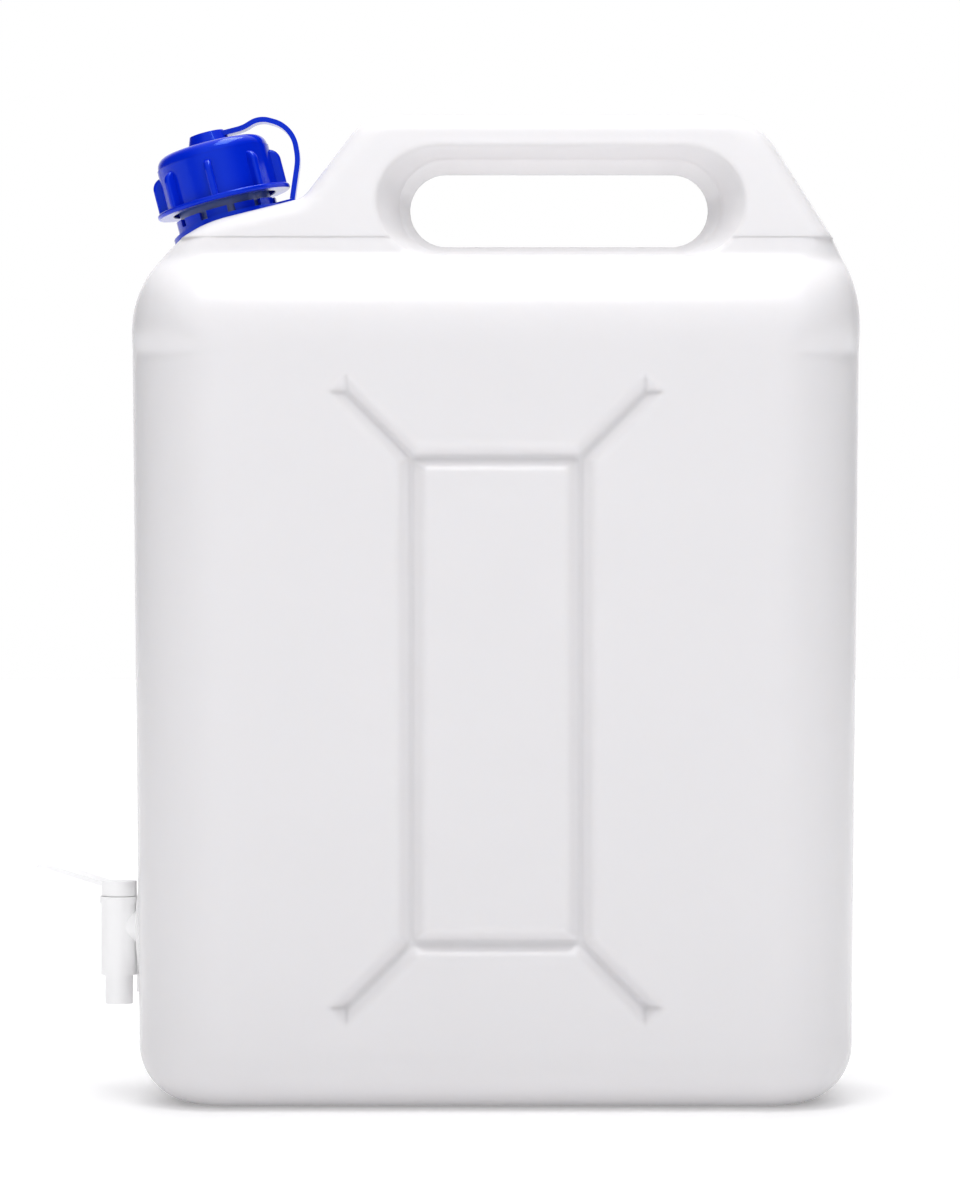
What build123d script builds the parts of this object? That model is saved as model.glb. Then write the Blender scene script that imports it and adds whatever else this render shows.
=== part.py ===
"""A ten litre water canister with a tethered screw cap and a lever tap.

Millimetres. X runs to the right of the broad front face, Y runs away from it, and Z is up.
The origin is the centre of the base, on the ground. The neck leans to the left and the tap
stands on the left side.
"""

from build123d import *
import math
import os

os.makedirs("parts", exist_ok=True)

# Canister, overall
HEIGHT = 379.4
BASE_HALF_WIDTH = 136.2
HALF_DEPTH = 62.5
SIDE_DRAFT = 0.573  # degrees that each narrow side leans out
WALL = 2.0
CORNER_RADIUS = 36.0  # upright corners, seen from above
FOOT_RADIUS = 23.0

# Canister, front outline above the body, all measured down from the top
RIGHT_SLOPE_DROP = 66.3
RIGHT_SLOPE_ANGLE = 59.5
RIGHT_SHOULDER_RADIUS = 68.0
RIGHT_TOP_RADIUS = 26.0
NECK_SEAT_DROP = 40.6
NECK_INSET = 36.4  # from the left side to where the neck axis meets its seat
NECK_TILT = 14.5
LEFT_SHOULDER_RADIUS = 48.0
RISER_OFFSET = 29.6  # from the neck axis to the foot of the riser beside it
RISER_ANGLE = 54.0
RISER_TOP_RADIUS = 20.0
RISER_FOOT_RADIUS = 9.0

# Canister, side outline: shoulder, then the thinner handle web
SHOULDER_DROP = 70.4
SHOULDER_RADIUS = 38.0
SHOULDER_STEPS = 10  # level sections that shape its arc
WEB_STEPS = 5  # steps of the upright stretch between the arc and the seam
WEB_FOOT_DROP = 57.0
WEB_FOOT_HALF_DEPTH = 39.5
WEB_TOP_HALF_DEPTH = 22.5
WEB_FOOT_RADIUS = 8.0
WEB_EDGE_RADIUS = 9.5
STRAIGHT_DROP = 97.4  # the body below this is a plain drafted prism
SEAM_DROP = 48.9  # the rounded web starts here
SEAM_TOLERANCE = 0.001
SEAM_EASE = 2.0  # the corners stay this much rounder than the web at the seam
CLEAR = 1.0  # how far a cutter runs past what it cuts
PICK = 0.01  # how near an edge lies to the place it is picked by

# Handle hole
HOLE_LENGTH = 116.0
HOLE_HEIGHT = 28.0
HOLE_X = 24.8
GRIP_HEIGHT = 21.6
HOLE_WALL_DEPTH = 20.0
HOLE_DRAFT = 4.0  # growth of the hole from the middle to the end of its steep wall
RIM_END_FLARE = 13.0
RIM_LOW_FLARE = 8.0
RIM_HIGH_FLARE = 10.0
RIM_STAND_OFF = 0.5  # the flare ends this far outside the web's face

# Stiffening grooves on both broad faces
PANEL_HALF_WIDTH = 31.8
PANEL_BOTTOM = 63.6
PANEL_TOP_DROP = 133.5
ARM_REACH = 24.2
GROOVE_DEPTH = 4.4
GROOVE_FLAT = 1.2
GROOVE_WALL_ANGLE = 45.0
GROOVE_RIM_RADIUS = 3.0

# Neck
NECK_RADIUS = 18.1
NECK_WALL = 2.3
NECK_HEIGHT = 27.3
NECK_LIP_RADIUS = 0.8

# Cap
CAP_LIFT = 7.8  # from the neck seat to the cap's flange
CAP_HEIGHT = 23.4
CAP_RADIUS = 22.3
CAP_STEP = 0.4
CAP_STEP_HEIGHT = 18.5
CAP_CROWN_RADIUS = 4.6
CAP_FOOT_FILLET = 0.5
CAP_MOUTH_RADIUS = 0.4
CAP_INNER_RADIUS = 1.0
CAP_WALL = 1.9
CAP_TOP = 2.2
FLANGE_RADIUS = 26.5
FLANGE_THICKNESS = 2.0
FLANGE_EDGE_RADIUS = 0.8
RIB_COUNT = 8
RIB_WIDTH = 3.0
RIB_RADIUS = 25.7
RIB_HEIGHT = 16.4
RIB_CORNER = 4.6
RIB_SEAT = 0.75  # share of the cap's wall that the foot of a rib reaches into
RIB_FLAT = 0.6  # width left between a rib's rounded sides
RIB_TURN = -4.0  # degrees from the front to the nearest rib
STUD_RADIUS = 4.0
STUD_HEIGHT = 3.4
LINER_THICKNESS = 1.6
LINER_GAP = 0.1
LINER_SIDE_GAP = 0.9

# Tether, from the cap's stud to a ring about the neck
HUB_BASE_RADIUS = 8.6
HUB_TOP_RADIUS = 6.8
HUB_HEIGHT = 4.9
HUB_CLEARANCE = 0.2
STRAP_WIDTH = 8.0
STRAP_THICKNESS = 2.0
STRAP_SINK = 0.7  # the strap lies this far below the hub's top
STRAP_RUN = 7.8
STRAP_CREST_REACH = 21.5  # reaches are from the neck's axis
STRAP_CREST_RISE = 0.6
STRAP_BEND_REACH = 33.2
STRAP_BEND_DROP = 6.0
STRAP_KNEE_REACH = 32.2
STRAP_KNEE_RISE = 9.7  # above the cap's flange
STRAP_FOOT_REACH = 26.2
STRAP_RADII = [14.0, 9.0, 12.0, 20.0]  # of its four bends, from the hub
TAB_REACH = 27.2
TAB_WIDTH = 10.0
TAB_THICKNESS = 2.8
RING_RADIUS = 22.6
RING_THICKNESS = 2.0
RING_CLEARANCE = 0.3
RING_DROOP_RADIUS = 75.0
COLLAR_WALL = 1.6
COLLAR_HEIGHT = 3.0
TOOTH_COUNT = 11
TOOTH_GAP = 3.0

# Tap port in the canister's left side
TAP_HEIGHT = 65.3
PORT_RADIUS = 9.0
PORT_BOSS_RADIUS = 12.5
PORT_BOSS_LENGTH = 9.0
PAD_RADIUS = 17.0
PAD_RISE = 0.2

# Tap body
WASHER_THICKNESS = 0.8
TAP_FLANGE_RADIUS = 15.8
TAP_FLANGE_THICKNESS = 1.9
TAP_FLANGE_EDGE = 1.0
SHANK_CLEARANCE = 0.1
SHANK_LENGTH = 11.0
INLET_BORE = 4.2
INLET_RADIUS = 6.4
BARREL_REACH = 7.0  # from the flange to the barrel's axis
BARREL_RADIUS = 7.1
BARREL_BELOW = 19.0  # below and above the inlet's axis
BARREL_ABOVE = 8.7
COLLAR_RADIUS = 7.6
COLLAR_DEPTH = 2.8
HEEL_DEPTH = 7.0
HEEL_THICKNESS = 2.8
HEEL_WIDTH = 6.0
HEEL_GAP = 0.3
HEEL_RISE = 0.4  # the heel's top above the foot of the barrel
HEEL_RIB_INSET = 0.6
HEEL_RIB_RISE = 6.0  # from the flange's foot to the top of the rib
HEEL_RIB_BITE = 1.0
HEEL_RIB_WIDTH = 1.6

# Tap plug, with its lever and spout
PLUG_RADIUS = 5.65
PLUG_CLEARANCE = 0.05
PLUG_BORE = 3.6
BORE_HEAD = 1.0  # the bore ends this far above the port
SPOUT_LENGTH = 11.3
SPOUT_RADIUS = 5.45
PORT_BORE = 3.4
HEAD_RADIUS = 6.9
HEAD_HEIGHT = 5.8
HEAD_GAP = 0.2
SEAL_WIDTH = 1.6
SEAL_DEPTH = 0.9
SEAL_SPACING = 6.6
SEAL_CLEARANCE = 0.02
LEVER_LENGTH = 30.3
LEVER_THICKNESS = 1.9
LEVER_BITE = 1.0  # overlap of the lever with the head
LEVER_ROOT_RADIUS = 3.0
LEVER_TIP_RADIUS = 1.2
LEVER_TIP_SLOPE = 0.8  # the tip turns down by this share of its length
LEVER_RISE = 15.5
LEVER_YAW = 18.0
LEVER_TIP = 1.6
LEVER_ROOT_WIDTH = 9.0
LEVER_TIP_WIDTH = 13.0
LEVER_CORNER = 2.0


def half_width(height):
    """Half the canister's width at a height, between its drafted narrow sides."""
    return BASE_HALF_WIDTH + height * math.tan(math.radians(SIDE_DRAFT))


# Places that follow from the sizes above
neck_rise = math.tan(math.radians(NECK_TILT))
neck_x = NECK_INSET - half_width(HEIGHT)
neck_seat = HEIGHT - NECK_SEAT_DROP
riser_foot = (neck_x + RISER_OFFSET, neck_seat + RISER_OFFSET * neck_rise)
riser_top_x = riser_foot[0] + (HEIGHT - riser_foot[1]) / math.tan(math.radians(RISER_ANGLE))
slope_foot = (half_width(HEIGHT - RIGHT_SLOPE_DROP), HEIGHT - RIGHT_SLOPE_DROP)
slope_top_x = slope_foot[0] - RIGHT_SLOPE_DROP / math.tan(math.radians(RIGHT_SLOPE_ANGLE))
left_drop = (half_width(neck_seat) + neck_x) * neck_rise
left_knee = (-half_width(neck_seat - left_drop), neck_seat - left_drop)
straight_top = HEIGHT - STRAIGHT_DROP
seam = HEIGHT - SEAM_DROP
shoulder_turn = math.atan2(HALF_DEPTH - WEB_FOOT_HALF_DEPTH, SHOULDER_DROP - WEB_FOOT_DROP)
shoulder_foot = HEIGHT - SHOULDER_DROP - SHOULDER_RADIUS * math.tan(shoulder_turn / 2)
web_lean = math.degrees(math.atan((WEB_FOOT_HALF_DEPTH - WEB_TOP_HALF_DEPTH) / WEB_FOOT_DROP))
hole_middle = HEIGHT - GRIP_HEIGHT - HOLE_HEIGHT / 2
panel_top = HEIGHT - PANEL_TOP_DROP
neck_frame = Plane(
    origin=(neck_x, 0, neck_seat),
    x_dir=(math.cos(math.radians(NECK_TILT)), 0, math.sin(math.radians(NECK_TILT))),
    z_dir=(-math.sin(math.radians(NECK_TILT)), 0, math.cos(math.radians(NECK_TILT))),
)


side_frame = Plane(origin=neck_frame.origin, x_dir=neck_frame.x_dir, z_dir=(0, -1, 0))
neck_axis = Axis(neck_frame.origin, neck_frame.z_dir)


def front_outline(inset):
    """The canister's front outline, drawn in by inset. It runs on below the ground."""
    below = -CORNER_RADIUS
    with BuildSketch(Plane.XZ) as outline:
        with BuildLine():
            FilletPolyline(
                (-half_width(below), below),
                (half_width(below), below),
                slope_foot,
                (slope_top_x, HEIGHT),
                (riser_top_x, HEIGHT),
                riser_foot,
                left_knee,
                radius=[
                    0,
                    0,
                    RIGHT_SHOULDER_RADIUS,
                    RIGHT_TOP_RADIUS,
                    RISER_TOP_RADIUS,
                    RISER_FOOT_RADIUS,
                    LEFT_SHOULDER_RADIUS,
                ],
                close=True,
            )
        make_face()
        if inset > 0:
            offset(amount=-inset, kind=Kind.INTERSECTION)
    return outline.sketch


def side_outline(inset):
    """The canister's side outline, open above the grip, drawn in by inset."""
    below = -CORNER_RADIUS
    above = HEIGHT + CORNER_RADIUS
    with BuildSketch(Plane.YZ) as outline:
        with BuildLine():
            right = [
                (HALF_DEPTH, below),
                (HALF_DEPTH, HEIGHT - SHOULDER_DROP),
                (WEB_FOOT_HALF_DEPTH, HEIGHT - WEB_FOOT_DROP),
                (WEB_TOP_HALF_DEPTH, HEIGHT),
                (WEB_TOP_HALF_DEPTH, above),
            ]
            left = [(-y, z) for y, z in reversed(right)]
            bends = [0, SHOULDER_RADIUS, WEB_FOOT_RADIUS, 0, 0]
            FilletPolyline(*right, *left, radius=bends + bends[::-1], close=True)
        make_face()
        if inset > 0:
            offset(amount=-inset, kind=Kind.INTERSECTION)
    return outline.sketch


def reach(outline, height, along):
    """How far an outline reaches each way at a height, along a horizontal direction."""
    line = Edge.make_line(
        Vector(0, 0, height) - along * 2 * HEIGHT, Vector(0, 0, height) + along * 2 * HEIGHT
    )
    spots = [v.center() for e in ShapeList([outline.face().intersect(line)]).edges() for v in e.vertices()]
    steps = [spot.dot(along) for spot in spots]
    return min(steps), max(steps)


def cross_section(front, side, height, radius):
    """A level section of the canister: a rectangle with rounded corners."""
    left, right = reach(front, height, Vector(1, 0, 0))
    near, far = reach(side, height, Vector(0, 1, 0))
    with BuildSketch(Plane.XY.offset(height)) as section:
        with Locations(((left + right) / 2, (near + far) / 2)):
            RectangleRounded(right - left, far - near, radius)
    return section.sketch


def join(lower, middle, upper):
    """One solid from three that share whole faces: sewn from their other faces, or else glued."""
    whole = lower.volume + middle.volume + upper.volume
    outside = []
    for piece in (lower, middle, upper):
        for face in piece.faces():
            level = face.bounding_box().size.Z < SEAM_TOLERANCE
            shared = min(abs(face.center().Z - seam), abs(face.center().Z - straight_top))
            if not (level and shared < SEAM_TOLERANCE):
                outside.append(face)
    joined = Solid(Shell(Face.sew_faces(outside)[0]))
    if not joined.is_valid:
        joined = lower.fuse(middle, upper, glue=True, tol=SEAM_TOLERANCE).solids()[0]
    if abs(joined.volume / whole - 1) > SEAM_TOLERANCE:
        raise ValueError("the canister's parts did not join")
    return joined


def canister_form(inset):
    """The canister's smooth body, without its neck, hole and grooves, drawn in by inset."""
    front = front_outline(inset)
    side = side_outline(inset)

    with BuildPart() as web:
        extrude(front, amount=2 * HALF_DEPTH, both=True)
        extrude(side, amount=2 * BASE_HALF_WIDTH, both=True, mode=Mode.INTERSECT)
        split(bisect_by=Plane.XY.offset((shoulder_foot + HEIGHT - SHOULDER_DROP) / 2), keep=Keep.TOP)
        floor = web.faces().sort_by(Axis.Z)[0].center().Z
        long_edges = [
            e
            for e in web.edges()
            if (e @ 0).Z + (e @ 1).Z > 2 * floor + CLEAR and (e @ 0).Y * (e @ 1).Y > 0
        ]
        lengthwise = [e for e in long_edges if abs((e @ 0).Z - (e @ 1).Z) > PICK or e.center().Z > seam]
        fillet(lengthwise, WEB_EDGE_RADIUS - inset)
        split(bisect_by=Plane.XY.offset(seam), keep=Keep.TOP)
    seam_face = web.faces().sort_by(Axis.Z)[0]

    with BuildPart() as prism:
        corner = CORNER_RADIUS - inset
        low = cross_section(front, side, inset, corner)
        high = cross_section(front, side, straight_top, corner)
        loft([low, high], ruled=True)
        fillet(prism.faces().sort_by(Axis.Z)[0].edges(), FOOT_RADIUS - inset)

    # even steps round the shoulder's arc and on to the web
    arc_top = shoulder_foot + SHOULDER_RADIUS * math.sin(shoulder_turn)
    heights = [straight_top]
    for step in range(SHOULDER_STEPS + 1):
        heights.append(shoulder_foot + SHOULDER_RADIUS * math.sin(shoulder_turn * step / SHOULDER_STEPS))
    heights += [arc_top + (seam - arc_top) * step / WEB_STEPS for step in range(1, WEB_STEPS)]
    sections = []
    for height in heights:
        share = max(0.0, (height - shoulder_foot) / (seam - shoulder_foot))
        radius = CORNER_RADIUS + (WEB_EDGE_RADIUS + SEAM_EASE - CORNER_RADIUS) * share
        sections.append(cross_section(front, side, height, radius - inset).face())
    shoulder = loft(sections + [seam_face])
    return join(prism.part, shoulder, web.part)


def groove(start, end, depth, flat, face):
    """A straight V-groove cutter for the front face, between two points of that face."""
    run = Vector(*end) - Vector(*start)
    middle = (Vector(*end) + Vector(*start)) / 2
    with BuildPart() as cutter:
        with BuildSketch(Plane.XZ.offset(face - depth)):
            with Locations(Location((middle.X, middle.Y), math.degrees(math.atan2(run.Y, run.X)))):
                Rectangle(run.length + flat, flat)
        extrude(amount=depth + CLEAR, taper=-GROOVE_WALL_ANGLE)
    return cutter.part


def groove_set(inset):
    """All the grooves of the front face, for the outer skin or, with inset, for the cavity."""
    flat = GROOVE_FLAT + 2 * inset * math.tan(math.radians(GROOVE_WALL_ANGLE / 2))
    face = HALF_DEPTH - inset
    cutters = []
    corners = [
        (-PANEL_HALF_WIDTH, PANEL_BOTTOM),
        (PANEL_HALF_WIDTH, PANEL_BOTTOM),
        (PANEL_HALF_WIDTH, panel_top),
        (-PANEL_HALF_WIDTH, panel_top),
    ]
    for index, corner in enumerate(corners):
        cutters.append(groove(corner, corners[(index + 1) % 4], GROOVE_DEPTH, flat, face))
        sideways = math.copysign(ARM_REACH, corner[0])
        upwards = ARM_REACH if corner[1] > HEIGHT / 2 else -ARM_REACH
        tip = (corner[0] + sideways, corner[1] + upwards)
        cutters.append(groove(corner, tip, GROOVE_DEPTH, flat, face))
    return cutters


def hole_half(inset):
    """The front half of the handle hole's cutter: a steep wall, then a flare to the rim."""
    web_face = WEB_TOP_HALF_DEPTH + (HEIGHT - hole_middle) * math.tan(math.radians(web_lean))
    lean = math.radians(web_lean)
    rim_plane = Plane(
        origin=(HOLE_X, -web_face - RIM_STAND_OFF, hole_middle),
        x_dir=(1, 0, 0),
        z_dir=(0, -math.cos(lean), math.sin(lean)),
    )
    grow = 2 * inset
    with BuildPart() as cutter:
        with BuildSketch(Plane.XZ) as middle:
            with Locations((HOLE_X, hole_middle)):
                SlotOverall(HOLE_LENGTH + grow, HOLE_HEIGHT + grow)
        with BuildSketch(Plane.XZ.offset(HOLE_WALL_DEPTH - inset)) as step:
            with Locations((HOLE_X, hole_middle)):
                SlotOverall(
                    HOLE_LENGTH + 2 * HOLE_DRAFT + grow, HOLE_HEIGHT + 2 * HOLE_DRAFT + grow
                )
        loft([middle.sketch, step.sketch], ruled=True)
        with BuildSketch(rim_plane) as rim:
            with Locations((0, (RIM_HIGH_FLARE - RIM_LOW_FLARE) / 2)):
                SlotOverall(
                    HOLE_LENGTH + 2 * RIM_END_FLARE + grow,
                    HOLE_HEIGHT + RIM_LOW_FLARE + RIM_HIGH_FLARE + grow,
                )
        loft([step.sketch, rim.sketch], ruled=True)
        extrude(rim.sketch, amount=WEB_FOOT_HALF_DEPTH)
    return cutter.part


# The canister: outer form, neck and tap pad first, then everything hollow
neck_root = NECK_RADIUS
pad_face = -half_width(TAP_HEIGHT) - PAD_RISE
port_frame = Plane(origin=(pad_face, 0, TAP_HEIGHT), x_dir=(0, 1, 0), z_dir=(1, 0, 0))

outer_form = canister_form(0.0)
inner_form = canister_form(WALL)
outer_hole = hole_half(0.0)
outer_grooves = groove_set(0.0)
inner_cutters = groove_set(WALL) + [hole_half(WALL)]

with BuildPart() as cavity:
    add(inner_form)
    for cutter in inner_cutters:
        add(cutter, mode=Mode.SUBTRACT)
        add(mirror(cutter, about=Plane.XZ, mode=Mode.PRIVATE), mode=Mode.SUBTRACT)
    with BuildSketch(port_frame):
        Circle(PORT_BOSS_RADIUS)
    extrude(amount=PORT_BOSS_LENGTH, mode=Mode.SUBTRACT)

with BuildPart() as canister:
    add(outer_form)
    for cutter in outer_grooves:
        add(cutter, mode=Mode.SUBTRACT)
        add(mirror(cutter, about=Plane.XZ, mode=Mode.PRIVATE), mode=Mode.SUBTRACT)
    # the grooves' rims lie in the flat faces, well inside their outlines
    rims = [
        e
        for e in canister.edges()
        if abs(abs(e.center().Y) - HALF_DEPTH) < SEAM_TOLERANCE
        and abs(e.center().X) < PANEL_HALF_WIDTH + ARM_REACH + GROOVE_DEPTH + GROOVE_FLAT
        and CORNER_RADIUS / 2 < e.center().Z < straight_top - CLEAR
    ]
    fillet(rims, GROOVE_RIM_RADIUS)
    with BuildSketch(side_frame):
        with BuildLine():
            FilletPolyline(
                (0, -neck_root),
                (NECK_RADIUS, -neck_root),
                (NECK_RADIUS, NECK_HEIGHT),
                (0, NECK_HEIGHT),
                radius=[0, 0, NECK_LIP_RADIUS, 0],
                close=True,
            )
        make_face()
    revolve(axis=neck_axis)
    with BuildSketch(port_frame):
        Circle(PAD_RADIUS)
    extrude(amount=PAD_RISE + WALL / 2)
    add(outer_hole, mode=Mode.SUBTRACT)
    add(mirror(outer_hole, about=Plane.XZ, mode=Mode.PRIVATE), mode=Mode.SUBTRACT)
    add(cavity.part, mode=Mode.SUBTRACT)
    with BuildSketch(neck_frame.offset(-neck_root)):
        Circle(NECK_RADIUS - NECK_WALL)
    extrude(amount=neck_root + 2 * NECK_HEIGHT, mode=Mode.SUBTRACT)
    with BuildSketch(port_frame):
        Circle(PORT_RADIUS)
    extrude(amount=PORT_BOSS_LENGTH + WALL, mode=Mode.SUBTRACT)
canister.part.label = "canister"
export_step(canister.part, "parts/canister.step")

# The cap: a ribbed cup with a wide foot flange and a stud for the tether
cap_top = CAP_LIFT + CAP_HEIGHT
cap_ceiling = cap_top - CAP_TOP
flange_top = CAP_LIFT + FLANGE_THICKNESS
rib_root = CAP_RADIUS - RIB_SEAT * CAP_WALL

with BuildPart() as rib:
    with BuildSketch(side_frame):
        with BuildLine():
            FilletPolyline(
                (rib_root, flange_top - FLANGE_THICKNESS / 2),
                (RIB_RADIUS, flange_top - FLANGE_THICKNESS / 2),
                (RIB_RADIUS, CAP_LIFT + RIB_HEIGHT),
                (rib_root, CAP_LIFT + RIB_HEIGHT),
                radius=[0, 0, RIB_CORNER, 0],
                close=True,
            )
        make_face()
    extrude(amount=RIB_WIDTH / 2, both=True)
    round_edges = [e for e in rib.edges() if abs(abs(e.center().Y) - RIB_WIDTH / 2) < PICK]
    outer = [e for e in round_edges if side_frame.to_local_coords(e.center()).X > CAP_RADIUS]
    upper = [e for e in outer if side_frame.to_local_coords(e.center()).Y > flange_top]
    fillet(upper, (RIB_WIDTH - RIB_FLAT) / 2)

with BuildPart() as cap:
    with BuildSketch(side_frame):
        with BuildLine():
            FilletPolyline(
                (0, cap_top),
                (CAP_RADIUS - CAP_STEP, cap_top),
                (CAP_RADIUS - CAP_STEP, CAP_LIFT + CAP_STEP_HEIGHT),
                (CAP_RADIUS, CAP_LIFT + CAP_STEP_HEIGHT),
                (CAP_RADIUS, flange_top),
                (FLANGE_RADIUS, flange_top),
                (FLANGE_RADIUS, CAP_LIFT),
                (CAP_RADIUS - CAP_WALL, CAP_LIFT),
                (CAP_RADIUS - CAP_WALL, cap_ceiling),
                (0, cap_ceiling),
                radius=[
                    0,
                    CAP_CROWN_RADIUS,
                    0,
                    0,
                    CAP_FOOT_FILLET,
                    FLANGE_EDGE_RADIUS,
                    FLANGE_EDGE_RADIUS,
                    CAP_MOUTH_RADIUS,
                    CAP_INNER_RADIUS,
                    0,
                ],
                close=True,
            )
        make_face()
    revolve(axis=neck_axis)
    for index in range(RIB_COUNT):
        turn = RIB_TURN - 90 + index * 360 / RIB_COUNT
        add(rib.part.rotate(neck_axis, turn))
    with BuildSketch(neck_frame.offset(cap_top - CAP_TOP / 2)):
        Circle(STUD_RADIUS)
    extrude(amount=CAP_TOP / 2 + STUD_HEIGHT)
cap.part.label = "cap"
export_step(cap.part, "parts/cap.step")

with BuildPart() as cap_liner:
    with BuildSketch(neck_frame.offset(cap_ceiling - LINER_GAP - LINER_THICKNESS)):
        Circle(CAP_RADIUS - CAP_WALL - LINER_SIDE_GAP)
    extrude(amount=LINER_THICKNESS)
cap_liner.part.label = "cap_liner"
export_step(cap_liner.part, "parts/cap_liner.step")

# The tether: a hub on the cap's stud, a strap, and a ring with a toothed collar, in one moulding
hub_base = cap_top + HUB_CLEARANCE
hub_top = hub_base + HUB_HEIGHT
strap_level = hub_top - STRAP_SINK - STRAP_THICKNESS / 2
collar_top = RING_CLEARANCE + RING_THICKNESS + COLLAR_HEIGHT
bore = NECK_RADIUS + RING_CLEARANCE


def drooping_band(top):
    """The side outline of the ring, level beside the riser and bent down over the shoulder."""
    droop = RING_DROOP_RADIUS
    low = RING_CLEARANCE
    left = -RING_RADIUS - CLEAR
    sag = droop - math.sqrt(droop**2 - left**2)
    half = left / 2
    half_sag = droop - math.sqrt(droop**2 - half**2)
    with BuildSketch(side_frame) as band:
        with BuildLine():
            Line((RING_RADIUS + CLEAR, low), (0, low))
            ThreePointArc((0, low), (half, low - half_sag), (left, low - sag))
            if top > low + RING_THICKNESS:
                Polyline((left, low - sag), (left, top), (RING_RADIUS + CLEAR, top))
            else:
                Line((left, low - sag), (left, top - sag))
                ThreePointArc((left, top - sag), (half, top - half_sag), (0, top))
                Line((0, top), (RING_RADIUS + CLEAR, top))
            Line((RING_RADIUS + CLEAR, top), (RING_RADIUS + CLEAR, low))
        make_face()
    return band.sketch


ring_band = drooping_band(RING_CLEARANCE + RING_THICKNESS)
collar_band = drooping_band(collar_top)

with BuildPart() as ring:
    with BuildSketch(neck_frame.offset(-RING_RADIUS)):
        Circle(RING_RADIUS)
        Circle(bore, mode=Mode.SUBTRACT)
    extrude(amount=2 * RING_RADIUS)
    extrude(ring_band, amount=RING_RADIUS + CLEAR, both=True, mode=Mode.INTERSECT)

with BuildPart() as collar:
    with BuildSketch(neck_frame.offset(-RING_RADIUS)):
        Circle(bore + COLLAR_WALL)
        Circle(bore, mode=Mode.SUBTRACT)
    extrude(amount=2 * RING_RADIUS)
    extrude(collar_band, amount=RING_RADIUS + CLEAR, both=True, mode=Mode.INTERSECT)
    for index in range(TOOTH_COUNT):
        with BuildSketch(neck_frame.offset(RING_CLEARANCE + RING_THICKNESS)):
            with Locations(Location((0, 0), (index + 0.5) * 360 / TOOTH_COUNT)):
                Rectangle(RING_RADIUS, TOOTH_GAP, align=(Align.MIN, Align.CENTER))
        extrude(amount=COLLAR_HEIGHT + CLEAR, mode=Mode.SUBTRACT)

with BuildPart() as tether:
    add(ring.part)
    add(collar.part)
    with BuildSketch(side_frame):
        with BuildLine():
            Polyline(
                (STUD_RADIUS + HUB_CLEARANCE, hub_base),
                (HUB_BASE_RADIUS, hub_base),
                (HUB_TOP_RADIUS, hub_top),
                (0, hub_top),
                (0, hub_base + STUD_HEIGHT),
                (STUD_RADIUS + HUB_CLEARANCE, hub_base + STUD_HEIGHT),
                close=True,
            )
        make_face()
    revolve(axis=neck_axis)
    with BuildSketch(side_frame):
        with BuildLine():
            FilletPolyline(
                (HUB_TOP_RADIUS - STRAP_THICKNESS, strap_level),
                (HUB_TOP_RADIUS + STRAP_RUN, strap_level),
                (STRAP_CREST_REACH, hub_top + STRAP_CREST_RISE),
                (STRAP_BEND_REACH, hub_top - STRAP_BEND_DROP),
                (STRAP_KNEE_REACH, CAP_LIFT + STRAP_KNEE_RISE),
                (STRAP_FOOT_REACH, RING_CLEARANCE + TAB_THICKNESS),
                radius=STRAP_RADII,
            )
        trace(line_width=STRAP_THICKNESS)
    extrude(amount=STRAP_WIDTH / 2, both=True)
    # the tab that carries the strap's foot on the ring
    with BuildSketch(neck_frame.offset(RING_CLEARANCE)):
        with Locations((bore, 0)):
            Rectangle(TAB_REACH - bore, TAB_WIDTH, align=(Align.MIN, Align.CENTER))
        Circle(bore, mode=Mode.SUBTRACT)
    extrude(amount=TAB_THICKNESS)
tether.part.label = "tether"
export_step(tether.part, "parts/tether.step")

# The tap's washer and body
washer_face = pad_face - WASHER_THICKNESS
flange_face = washer_face - TAP_FLANGE_THICKNESS
barrel_x = flange_face - BARREL_REACH
barrel_low = TAP_HEIGHT - BARREL_BELOW
barrel_high = TAP_HEIGHT + BARREL_ABOVE
collar_high = barrel_high + COLLAR_DEPTH
shank_radius = PORT_RADIUS - SHANK_CLEARANCE
inlet_axis = Axis((0, 0, TAP_HEIGHT), (1, 0, 0))

with BuildPart() as tap_washer:
    with BuildSketch(Plane(origin=(washer_face, 0, TAP_HEIGHT), x_dir=(0, 1, 0), z_dir=(1, 0, 0))):
        Circle(TAP_FLANGE_RADIUS - TAP_FLANGE_EDGE)
        Circle(PORT_RADIUS + SHANK_CLEARANCE, mode=Mode.SUBTRACT)
    extrude(amount=WASHER_THICKNESS)
tap_washer.part.label = "tap_washer"
export_step(tap_washer.part, "parts/tap_washer.step")

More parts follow.
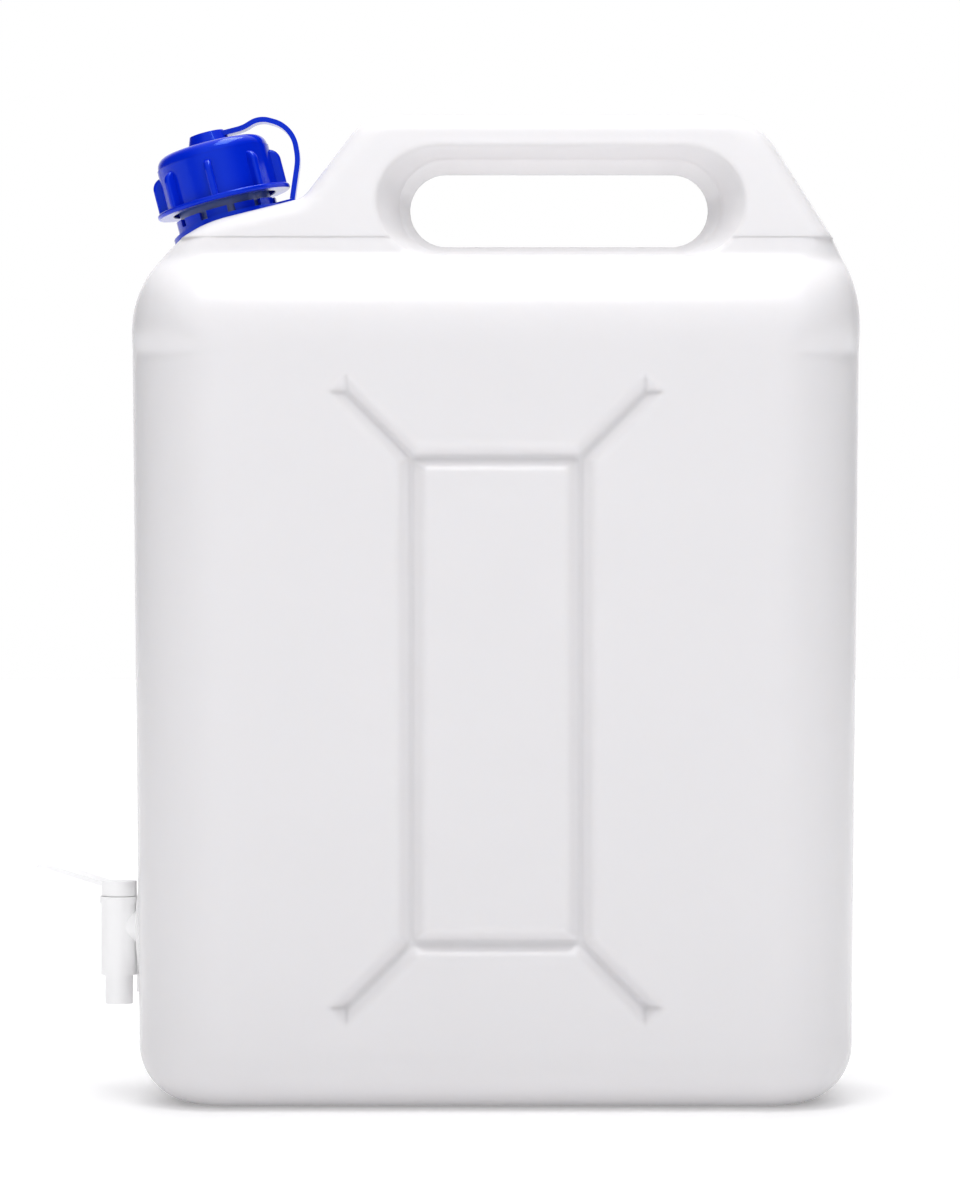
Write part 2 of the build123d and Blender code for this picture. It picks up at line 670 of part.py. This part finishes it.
with BuildPart() as tap_body:
    # flange and shank, turned about the inlet's axis
    with BuildSketch(Plane.XZ):
        with BuildLine():
            edge_face = washer_face - TAP_FLANGE_EDGE
            rim = TAP_HEIGHT + TAP_FLANGE_RADIUS
            Line((flange_face, TAP_HEIGHT), (flange_face, TAP_HEIGHT + INLET_RADIUS))
            mid = ((flange_face * 2 + edge_face) / 3, TAP_HEIGHT + (INLET_RADIUS + TAP_FLANGE_RADIUS) / 2)
            ThreePointArc((flange_face, TAP_HEIGHT + INLET_RADIUS), mid, (edge_face, rim))
            Polyline(
                (edge_face, rim),
                (washer_face, rim),
                (washer_face, TAP_HEIGHT + shank_radius),
                (washer_face + SHANK_LENGTH, TAP_HEIGHT + shank_radius),
                (washer_face + SHANK_LENGTH, TAP_HEIGHT),
                (flange_face, TAP_HEIGHT),
            )
        make_face()
    revolve(axis=inlet_axis)
    with BuildSketch(Plane(origin=(barrel_x, 0, TAP_HEIGHT), x_dir=(0, 1, 0), z_dir=(1, 0, 0))):
        Circle(INLET_RADIUS)
    extrude(amount=BARREL_REACH + TAP_FLANGE_THICKNESS / 2)
    with BuildSketch(Plane.XY.offset(barrel_low)):
        with Locations((barrel_x, 0)):
            Circle(BARREL_RADIUS)
    extrude(amount=collar_high - barrel_low)
    with BuildSketch(Plane.XY.offset(barrel_high)):
        with Locations((barrel_x, 0)):
            Circle(COLLAR_RADIUS)
    extrude(amount=COLLAR_DEPTH)
    # the heel that bears on the canister below the flange, on its slanting rib
    heel_low = barrel_low + HEEL_RISE - HEEL_DEPTH
    heel_face = -half_width(heel_low) - HEEL_GAP
    with BuildSketch(Plane.XZ):
        with BuildLine():
            Polyline(
                (heel_face - HEEL_THICKNESS, heel_low),
                (heel_face, heel_low),
                (heel_face, heel_low + HEEL_DEPTH),
                (heel_face - HEEL_THICKNESS, heel_low + HEEL_DEPTH),
                close=True,
            )
        make_face()
    extrude(amount=HEEL_WIDTH / 2, both=True)
    with BuildSketch(Plane.XZ):
        with BuildLine():
            Polyline(
                (heel_face - HEEL_THICKNESS / 2, heel_low + HEEL_DEPTH / 2),
                (heel_face - HEEL_THICKNESS / 2, heel_low + HEEL_DEPTH),
                (flange_face + HEEL_RIB_INSET, TAP_HEIGHT - TAP_FLANGE_RADIUS + HEEL_RIB_RISE),
                (barrel_x + BARREL_RADIUS - HEEL_RIB_BITE, TAP_HEIGHT - TAP_FLANGE_RADIUS + HEEL_RIB_RISE),
                (heel_face - HEEL_THICKNESS, heel_low + HEEL_DEPTH),
                close=True,
            )
        make_face()
    extrude(amount=HEEL_RIB_WIDTH / 2, both=True)
    with BuildSketch(Plane.XY.offset(barrel_low)):
        with Locations((barrel_x, 0)):
            Circle(PLUG_RADIUS + PLUG_CLEARANCE)
    extrude(amount=collar_high - barrel_low, mode=Mode.SUBTRACT)
    with BuildSketch(Plane(origin=(barrel_x, 0, TAP_HEIGHT), x_dir=(0, 1, 0), z_dir=(1, 0, 0))):
        Circle(INLET_BORE)
    extrude(amount=2 * SHANK_LENGTH, mode=Mode.SUBTRACT)
tap_body.part.label = "tap_body"
export_step(tap_body.part, "parts/tap_body.step")

# The plug: spout, stopper, head and lever in one moulding, with two seals
plug_axis = Axis((barrel_x, 0, 0), (0, 0, 1))
spout_low = barrel_low - SPOUT_LENGTH
head_low = collar_high + HEAD_GAP
head_high = head_low + HEAD_HEIGHT
seal_heights = [TAP_HEIGHT - SEAL_SPACING, TAP_HEIGHT + SEAL_SPACING]
lever_frame = Plane(
    origin=(barrel_x, 0, 0),
    x_dir=(-math.cos(math.radians(LEVER_YAW)), math.sin(math.radians(LEVER_YAW)), 0),
    z_dir=(math.sin(math.radians(LEVER_YAW)), math.cos(math.radians(LEVER_YAW)), 0),
)
lever_low = head_high - LEVER_THICKNESS / 2
lever_crest = lever_low + (LEVER_LENGTH - HEAD_RADIUS + LEVER_BITE) * math.tan(math.radians(LEVER_RISE))

with BuildPart() as lever:
    # the lever's side outline, rising from the head, with a tip turned down
    with BuildSketch(lever_frame):
        with BuildLine():
            FilletPolyline(
                (0, lever_low),
                (HEAD_RADIUS - LEVER_BITE, lever_low),
                (LEVER_LENGTH, lever_crest),
                (LEVER_LENGTH + LEVER_TIP, lever_crest - LEVER_TIP * LEVER_TIP_SLOPE),
                radius=[LEVER_ROOT_RADIUS, LEVER_TIP_RADIUS],
            )
        trace(line_width=LEVER_THICKNESS)
    extrude(amount=LEVER_TIP_WIDTH, both=True)
    with BuildSketch(Plane((barrel_x, 0, head_low), x_dir=lever_frame.x_dir, z_dir=(0, 0, 1))):
        with BuildLine():
            FilletPolyline(
                (0, -LEVER_ROOT_WIDTH / 2),
                (LEVER_LENGTH + LEVER_TIP + LEVER_THICKNESS, -LEVER_TIP_WIDTH / 2),
                (LEVER_LENGTH + LEVER_TIP + LEVER_THICKNESS, LEVER_TIP_WIDTH / 2),
                (0, LEVER_ROOT_WIDTH / 2),
                radius=[0, LEVER_CORNER, LEVER_CORNER, 0],
                close=True,
            )
        make_face()
    extrude(amount=HEAD_HEIGHT + LEVER_LENGTH, mode=Mode.INTERSECT)

with BuildPart() as tap_plug:
    with BuildSketch(Plane.XY.offset(spout_low)):
        with Locations((barrel_x, 0)):
            Circle(SPOUT_RADIUS)
    extrude(amount=SPOUT_LENGTH)
    with BuildSketch(Plane.XY.offset(barrel_low)):
        with Locations((barrel_x, 0)):
            Circle(PLUG_RADIUS)
    extrude(amount=head_high - barrel_low)
    with BuildSketch(Plane.XY.offset(head_low)):
        with Locations((barrel_x, 0)):
            Circle(HEAD_RADIUS)
    extrude(amount=HEAD_HEIGHT)
    add(lever.part)
    for height in seal_heights:
        with BuildSketch(Plane.XY.offset(height - SEAL_WIDTH / 2)):
            with Locations((barrel_x, 0)):
                Circle(PLUG_RADIUS + CLEAR)
                Circle(PLUG_RADIUS - SEAL_DEPTH, mode=Mode.SUBTRACT)
        extrude(amount=SEAL_WIDTH, mode=Mode.SUBTRACT)
    with BuildSketch(Plane.XY.offset(spout_low)):
        with Locations((barrel_x, 0)):
            Circle(PLUG_BORE)
    extrude(amount=TAP_HEIGHT + PORT_BORE + BORE_HEAD - spout_low, mode=Mode.SUBTRACT)
    # the port stands a quarter turn from the lever
    port_centre = lever_frame.origin + Vector(0, 0, TAP_HEIGHT)
    with BuildSketch(Plane(port_centre, lever_frame.x_dir, lever_frame.z_dir)):
        Circle(PORT_BORE)
    extrude(amount=2 * PLUG_RADIUS, mode=Mode.SUBTRACT)
tap_plug.part.label = "tap_plug"
export_step(tap_plug.part, "parts/tap_plug.step")

seal_section = (SEAL_DEPTH + PLUG_CLEARANCE) / 2 - SEAL_CLEARANCE
seal_x = barrel_x + PLUG_RADIUS + PLUG_CLEARANCE - SEAL_CLEARANCE - seal_section
for name, height in zip(["plug_seal_lower", "plug_seal_upper"], seal_heights):
    with BuildPart() as seal:
        with BuildSketch(Plane.XZ):
            with Locations((seal_x, height)):
                Circle(seal_section)
        revolve(axis=plug_axis)
    seal.part.label = name
    export_step(seal.part, f"parts/{name}.step")
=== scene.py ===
import math
import bmesh
import bpy
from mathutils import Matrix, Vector


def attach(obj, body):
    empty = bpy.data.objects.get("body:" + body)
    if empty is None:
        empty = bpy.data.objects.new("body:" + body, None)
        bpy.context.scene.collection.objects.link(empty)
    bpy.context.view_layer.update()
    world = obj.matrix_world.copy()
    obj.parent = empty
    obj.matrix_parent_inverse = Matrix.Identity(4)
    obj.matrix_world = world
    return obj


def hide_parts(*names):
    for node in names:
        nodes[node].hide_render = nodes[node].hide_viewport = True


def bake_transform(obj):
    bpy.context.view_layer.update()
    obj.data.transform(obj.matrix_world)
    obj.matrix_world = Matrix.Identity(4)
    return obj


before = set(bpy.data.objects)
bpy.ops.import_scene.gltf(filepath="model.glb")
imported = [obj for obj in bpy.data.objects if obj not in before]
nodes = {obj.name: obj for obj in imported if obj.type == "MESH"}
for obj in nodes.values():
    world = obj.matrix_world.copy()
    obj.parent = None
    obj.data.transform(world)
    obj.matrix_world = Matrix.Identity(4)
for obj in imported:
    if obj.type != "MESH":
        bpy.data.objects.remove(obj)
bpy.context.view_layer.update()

# %% [markdown]
# The camera stands level in front of the canister, a little left of its middle, with a
# long lens. Its height is the height at which the horizon would cross the photograph.

# %% Camera
camera_data = bpy.data.cameras.new("camera")
camera_data.sensor_fit = "VERTICAL"
camera_data.sensor_height = 36.0
camera_data.lens = 120.0
camera_data.clip_start = 0.05
camera_data.clip_end = 20.0
camera = bpy.data.objects.new("camera", camera_data)
camera.location = (-0.006, -1.560, 0.1922)
camera.rotation_euler = (math.radians(90), 0, 0)
bpy.context.collection.objects.link(camera)
bpy.context.scene.camera = camera
bpy.context.scene.view_settings.view_transform = "Standard"
print("camera at", tuple(round(v, 3) for v in camera.location))

# %% [markdown]
# The studio is a white tent. It is even in front and above and darker to both sides, so
# the narrow sides of the canister fall off to grey. One narrow softbox hangs overhead:
# it is what the shoulder mirrors as a bright band with two crisp ends.

# %% Studio
world = bpy.data.worlds.new("studio")
bpy.context.scene.world = world
world.use_nodes = True
tree = world.node_tree
tree.nodes.clear()
out = tree.nodes.new("ShaderNodeOutputWorld")
mix = tree.nodes.new("ShaderNodeMixShader")
seen = tree.nodes.new("ShaderNodeBackground")
seen.inputs["Color"].default_value = (1, 1, 1, 1)
seen.inputs["Strength"].default_value = 1.0
tent = tree.nodes.new("ShaderNodeBackground")
tent.inputs["Color"].default_value = (0.985, 0.98, 1.0, 1)
direction = tree.nodes.new("ShaderNodeTexCoord")
parts = tree.nodes.new("ShaderNodeSeparateXYZ")
sideways = tree.nodes.new("ShaderNodeMath")
sideways.operation = "ABSOLUTE"
falloff = tree.nodes.new("ShaderNodeMapRange")
falloff.interpolation_type = "SMOOTHSTEP"
falloff.inputs["From Min"].default_value = 0.25
falloff.inputs["From Max"].default_value = 0.85
falloff.inputs["To Min"].default_value = 1.08
falloff.inputs["To Max"].default_value = 0.05
path = tree.nodes.new("ShaderNodeLightPath")
tree.links.new(direction.outputs["Generated"], parts.inputs[0])
tree.links.new(parts.outputs["X"], sideways.inputs[0])
tree.links.new(sideways.outputs[0], falloff.inputs["Value"])
tree.links.new(falloff.outputs["Result"], tent.inputs["Strength"])
tree.links.new(path.outputs["Is Camera Ray"], mix.inputs[0])
tree.links.new(tent.outputs[0], mix.inputs[1])
tree.links.new(seen.outputs[0], mix.inputs[2])
tree.links.new(mix.outputs[0], out.inputs[0])


def softbox(name, place, target, width, height, power, colour=(1, 1, 1)):
    """A rectangular area lamp, turned to face a point."""
    data = bpy.data.lights.new(name, "AREA")
    data.shape = "RECTANGLE"
    data.size = width
    data.size_y = height
    data.energy = power
    data.color = colour
    lamp = bpy.data.objects.new(name, data)
    lamp.location = place
    aim = Vector(target) - Vector(place)
    lamp.rotation_euler = aim.to_track_quat("-Z", "Y").to_euler()
    bpy.context.collection.objects.link(lamp)
    return lamp


softbox("overhead", (0.0, -0.08, 1.12), (0.0, -0.08, 0.0), 0.34, 0.86, 6.0)


def plain_material(name):
    """A new material with its principled shader."""
    made = bpy.data.materials.new(name)
    made.use_nodes = True
    return made, made.node_tree, made.node_tree.nodes["Principled BSDF"]


floor_mesh = bpy.data.meshes.new("floor")
floor_mesh.from_pydata([(-6, -3, 0), (6, -3, 0), (6, 8, 0), (-6, 8, 0)], [], [(0, 1, 2, 3)])
floor = bpy.data.objects.new("floor", floor_mesh)
bpy.context.collection.objects.link(floor)
floor_material, floor_tree, floor_shader = plain_material("floor_white")
floor_shader.inputs["Base Color"].default_value = (0.98, 0.98, 0.98, 1)
floor_shader.inputs["Roughness"].default_value = 0.6
floor_shader.inputs["Emission Color"].default_value = (1, 1, 1, 1)
# painted light: the floor glows though it is no lamp, and glows less near the canister, which paints a
# shadow round its foot
floor_place = floor_tree.nodes.new("ShaderNodeTexCoord")
floor_reach = floor_tree.nodes.new("ShaderNodeVectorMath")
floor_reach.operation = "LENGTH"
floor_painted_light = floor_tree.nodes.new("ShaderNodeMapRange")
floor_painted_light.interpolation_type = "SMOOTHSTEP"
floor_painted_light.inputs["From Min"].default_value = 0.16
floor_painted_light.inputs["From Max"].default_value = 0.7
floor_painted_light.inputs["To Min"].default_value = 0.13
floor_painted_light.inputs["To Max"].default_value = 0.5
floor_tree.links.new(floor_place.outputs["Object"], floor_reach.inputs[0])
floor_tree.links.new(floor_reach.outputs["Value"], floor_painted_light.inputs["Value"])
floor_tree.links.new(floor_painted_light.outputs["Result"], floor_shader.inputs["Emission Strength"])
floor_mesh.materials.append(floor_material)
print("a white tent, one softbox and a floor")

# %% [markdown]
# Every material is mixed from procedural noise. Above the ring of the tether the skin of
# the neck is painted blue-grey: painted shade under the cap, with the cap's blue bounce light painted in.
# Blown polyethylene has a satin skin with a faint orange peel and a slight cloudiness, because light enters
# it a little way.

# %% Materials
NECK_SEAT = Vector((-0.1036, 0.0, 0.3388))
NECK_TILT = math.radians(14.5)
NECK_UP = Vector((-math.sin(NECK_TILT), 0.0, math.cos(NECK_TILT)))
# painted shade with the cap's blue bounce light, mixed into the neck's skin
NECK_SHADE_COLOUR = (0.05, 0.085, 0.26, 1)
NECK_SHADE_LOW = 0.001  # from the neck's seat to where the painted shade begins
NECK_SHADE_FULL = 0.003
NECK_SHADE_REACH = 0.0215  # from the neck's axis


def moulded(name, colour, roughness, grain_scale, grain_depth, drift=0.02, scatter=0.0, soft=0.0):
    """A moulded plastic: slow colour drift, uneven gloss and a fine grain, all from noise.

    With soft, the shading rounds the edges by that radius in metres.
    """
    rough_drift = 0.06
    made, nodes_of, shader = plain_material(name)
    links = nodes_of.links
    place = nodes_of.nodes.new("ShaderNodeTexCoord")
    broad = nodes_of.nodes.new("ShaderNodeTexNoise")
    broad.inputs["Scale"].default_value = 14.0
    broad.inputs["Detail"].default_value = 3.0
    links.new(place.outputs["Object"], broad.inputs["Vector"])
    ramp = nodes_of.nodes.new("ShaderNodeValToRGB")
    ramp.color_ramp.elements[0].position = 0.3
    ramp.color_ramp.elements[1].position = 0.7
    ramp.color_ramp.elements[0].color = [c * (1 - drift) for c in colour] + [1]
    ramp.color_ramp.elements[1].color = [min(1, c * (1 + drift)) for c in colour] + [1]
    links.new(broad.outputs["Fac"], ramp.inputs["Fac"])
    links.new(ramp.outputs["Color"], shader.inputs["Base Color"])
    gloss = nodes_of.nodes.new("ShaderNodeMapRange")
    gloss.inputs["To Min"].default_value = roughness - rough_drift / 2
    gloss.inputs["To Max"].default_value = roughness + rough_drift / 2
    links.new(broad.outputs["Fac"], gloss.inputs["Value"])
    links.new(gloss.outputs["Result"], shader.inputs["Roughness"])
    grain = nodes_of.nodes.new("ShaderNodeTexNoise")
    grain.inputs["Scale"].default_value = grain_scale
    grain.inputs["Detail"].default_value = 2.0
    links.new(place.outputs["Object"], grain.inputs["Vector"])
    bump = nodes_of.nodes.new("ShaderNodeBump")
    bump.inputs["Strength"].default_value = grain_depth
    bump.inputs["Distance"].default_value = 0.0002
    links.new(grain.outputs["Fac"], bump.inputs["Height"])
    links.new(bump.outputs["Normal"], shader.inputs["Normal"])
    if soft:
        rounding = nodes_of.nodes.new("ShaderNodeBevel")
        rounding.samples = 6
        rounding.inputs["Radius"].default_value = soft
        links.new(rounding.outputs["Normal"], bump.inputs["Normal"])
    shader.inputs["IOR"].default_value = 1.5
    if scatter:
        shader.inputs["Subsurface Weight"].default_value = scatter
        shader.inputs["Subsurface Radius"].default_value = (1.0, 0.9, 0.8)
        shader.inputs["Subsurface Scale"].default_value = 0.006
    return made


CANISTER_WHITE = (0.805, 0.788, 0.796)
BLOWN_EDGE = 0.004  # the rounding of the blown corners
canister_skin = moulded(
    "canister_skin", CANISTER_WHITE, 0.24, 260, 0.15, drift=0.006, scatter=0.3, soft=BLOWN_EDGE
)
cap_blue = moulded("cap_blue", (0.0004, 0.018, 0.56), 0.14, 400, 0.05, 0.05)
cap_shader = cap_blue.node_tree.nodes["Principled BSDF"]
cap_shader.inputs["Specular IOR Level"].default_value = 0.5
cap_shader.inputs["Specular Tint"].default_value = (0.2, 0.45, 1.0, 1)
tap_white = moulded("tap_white", (0.985, 0.985, 0.985), 0.28, 500, 0.1, 0.004)
liner_white = moulded("liner_white", (0.8, 0.8, 0.78), 0.7, 900, 0.5, 0.03)
seal_black = moulded("seal_black", (0.02, 0.02, 0.02), 0.55, 700, 0.3, 0.2)



def paint_neck_shade(material):
    """Mix painted shade, blue-grey as under the cap, into a material, above the neck's seat and near its
    axis.
    """
    tree_of = material.node_tree
    links = tree_of.links
    shader = tree_of.nodes["Principled BSDF"]
    skin = shader.inputs["Base Color"].links[0].from_socket
    place = tree_of.nodes.new("ShaderNodeTexCoord")
    from_seat = tree_of.nodes.new("ShaderNodeVectorMath")
    from_seat.operation = "SUBTRACT"
    from_seat.inputs[1].default_value = NECK_SEAT
    links.new(place.outputs["Object"], from_seat.inputs[0])
    height = tree_of.nodes.new("ShaderNodeVectorMath")
    height.operation = "DOT_PRODUCT"
    height.inputs[1].default_value = NECK_UP
    links.new(from_seat.outputs["Vector"], height.inputs[0])
    across = tree_of.nodes.new("ShaderNodeVectorMath")
    across.operation = "CROSS_PRODUCT"
    across.inputs[1].default_value = NECK_UP
    links.new(from_seat.outputs["Vector"], across.inputs[0])
    reach = tree_of.nodes.new("ShaderNodeVectorMath")
    reach.operation = "LENGTH"
    links.new(across.outputs["Vector"], reach.inputs[0])
    risen = tree_of.nodes.new("ShaderNodeMapRange")
    risen.inputs["From Min"].default_value = NECK_SHADE_LOW
    risen.inputs["From Max"].default_value = NECK_SHADE_FULL
    links.new(height.outputs["Value"], risen.inputs["Value"])
    near = tree_of.nodes.new("ShaderNodeMath")
    near.operation = "LESS_THAN"
    near.inputs[1].default_value = NECK_SHADE_REACH
    links.new(reach.outputs["Value"], near.inputs[0])
    both = tree_of.nodes.new("ShaderNodeMath")
    both.operation = "MULTIPLY"
    links.new(risen.outputs["Result"], both.inputs[0])
    links.new(near.outputs[0], both.inputs[1])
    mixed = tree_of.nodes.new("ShaderNodeMix")
    mixed.data_type = "RGBA"
    links.new(both.outputs[0], mixed.inputs["Factor"])
    links.new(skin, mixed.inputs[6])
    mixed.inputs[7].default_value = NECK_SHADE_COLOUR
    links.new(mixed.outputs[2], shader.inputs["Base Color"])


# paint the shade and blue bounce light of the cap onto the neck
paint_neck_shade(canister_skin)

finishes = {
    "canister": canister_skin,
    "cap": cap_blue,
    "tether": cap_blue,
    "cap_liner": liner_white,
    "tap_body": tap_white,
    "tap_plug": tap_white,
    "tap_washer": seal_black,
    "plug_seal_lower": seal_black,
    "plug_seal_upper": seal_black,
}
for node, finish in finishes.items():
    for place in nodes[node].material_slots:
        place.material = finish
print("materials on", len(finishes), "nodes")

# %% [markdown]
# The tether stays on the neck at its ring and goes up with the cap at its hub. A copy of
# its mesh, moved into world space, takes the place of the solid one. The cap and the neck get their threads,
# which the solids leave out.

# %% Tether and threads
NECK_OUT = Vector((math.cos(NECK_TILT), 0.0, math.sin(NECK_TILT)))
NECK_SIDE = NECK_UP.cross(NECK_OUT)


tether = bpy.data.objects.new("tether_moulding", nodes["tether"].data.copy())
bpy.context.collection.objects.link(tether)
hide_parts("tether")
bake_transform(tether)


THREAD_STEPS = 72  # steps in one turn
THREAD_TURNS = 2
THREAD_PITCH = 0.004
THREAD_FADE = 14  # steps over which a ridge rises at its ends
THREAD_SINK = 0.0003  # the ridge's root lies this deep in its wall
CREST_SHARE = 0.4  # width of the crest, as a share of the root's


def thread(name, body, radius, height, depth, start, outward, material):
    """A trapezoid thread ridge that runs round the neck's axis and fades at both ends."""
    count = THREAD_TURNS * THREAD_STEPS
    mesh = bmesh.new()
    rows = []
    for step in range(count + 1):
        angle = 2 * math.pi * step / THREAD_STEPS
        fade = min(1.0, step / THREAD_FADE, (count - step) / THREAD_FADE)
        lift = start + THREAD_PITCH * step / THREAD_STEPS
        crest = radius + outward * depth * fade
        root = radius - outward * THREAD_SINK
        around = NECK_OUT * math.cos(angle) + NECK_SIDE * math.sin(angle)
        row = []
        flat = height * CREST_SHARE
        for reach, rise in ((root, -height), (crest, -flat), (crest, flat), (root, height)):
            row.append(mesh.verts.new(NECK_SEAT + around * reach + NECK_UP * (lift + rise)))
        rows.append(row)
    for low, high in zip(rows, rows[1:]):
        for k in range(4):
            mesh.faces.new((low[k], low[(k + 1) % 4], high[(k + 1) % 4], high[k]))
    mesh.faces.new(rows[0])
    mesh.faces.new(rows[-1][::-1])
    bmesh.ops.recalc_face_normals(mesh, faces=mesh.faces)
    data = bpy.data.meshes.new(name)
    mesh.to_mesh(data)
    mesh.free()
    data.materials.append(material)
    made = bpy.data.objects.new(name, data)
    bpy.context.collection.objects.link(made)
    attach(made, body)
    return made


NECK_RADIUS = 0.0181
SKIRT_RADIUS = 0.0204
thread(
    "neck_thread", "canister", NECK_RADIUS, 0.0011, 0.0012, 0.0125, 1, canister_skin
)
thread("cap_thread", "cap", SKIRT_RADIUS, 0.0009, 0.0010, 0.0145, -1, cap_blue)
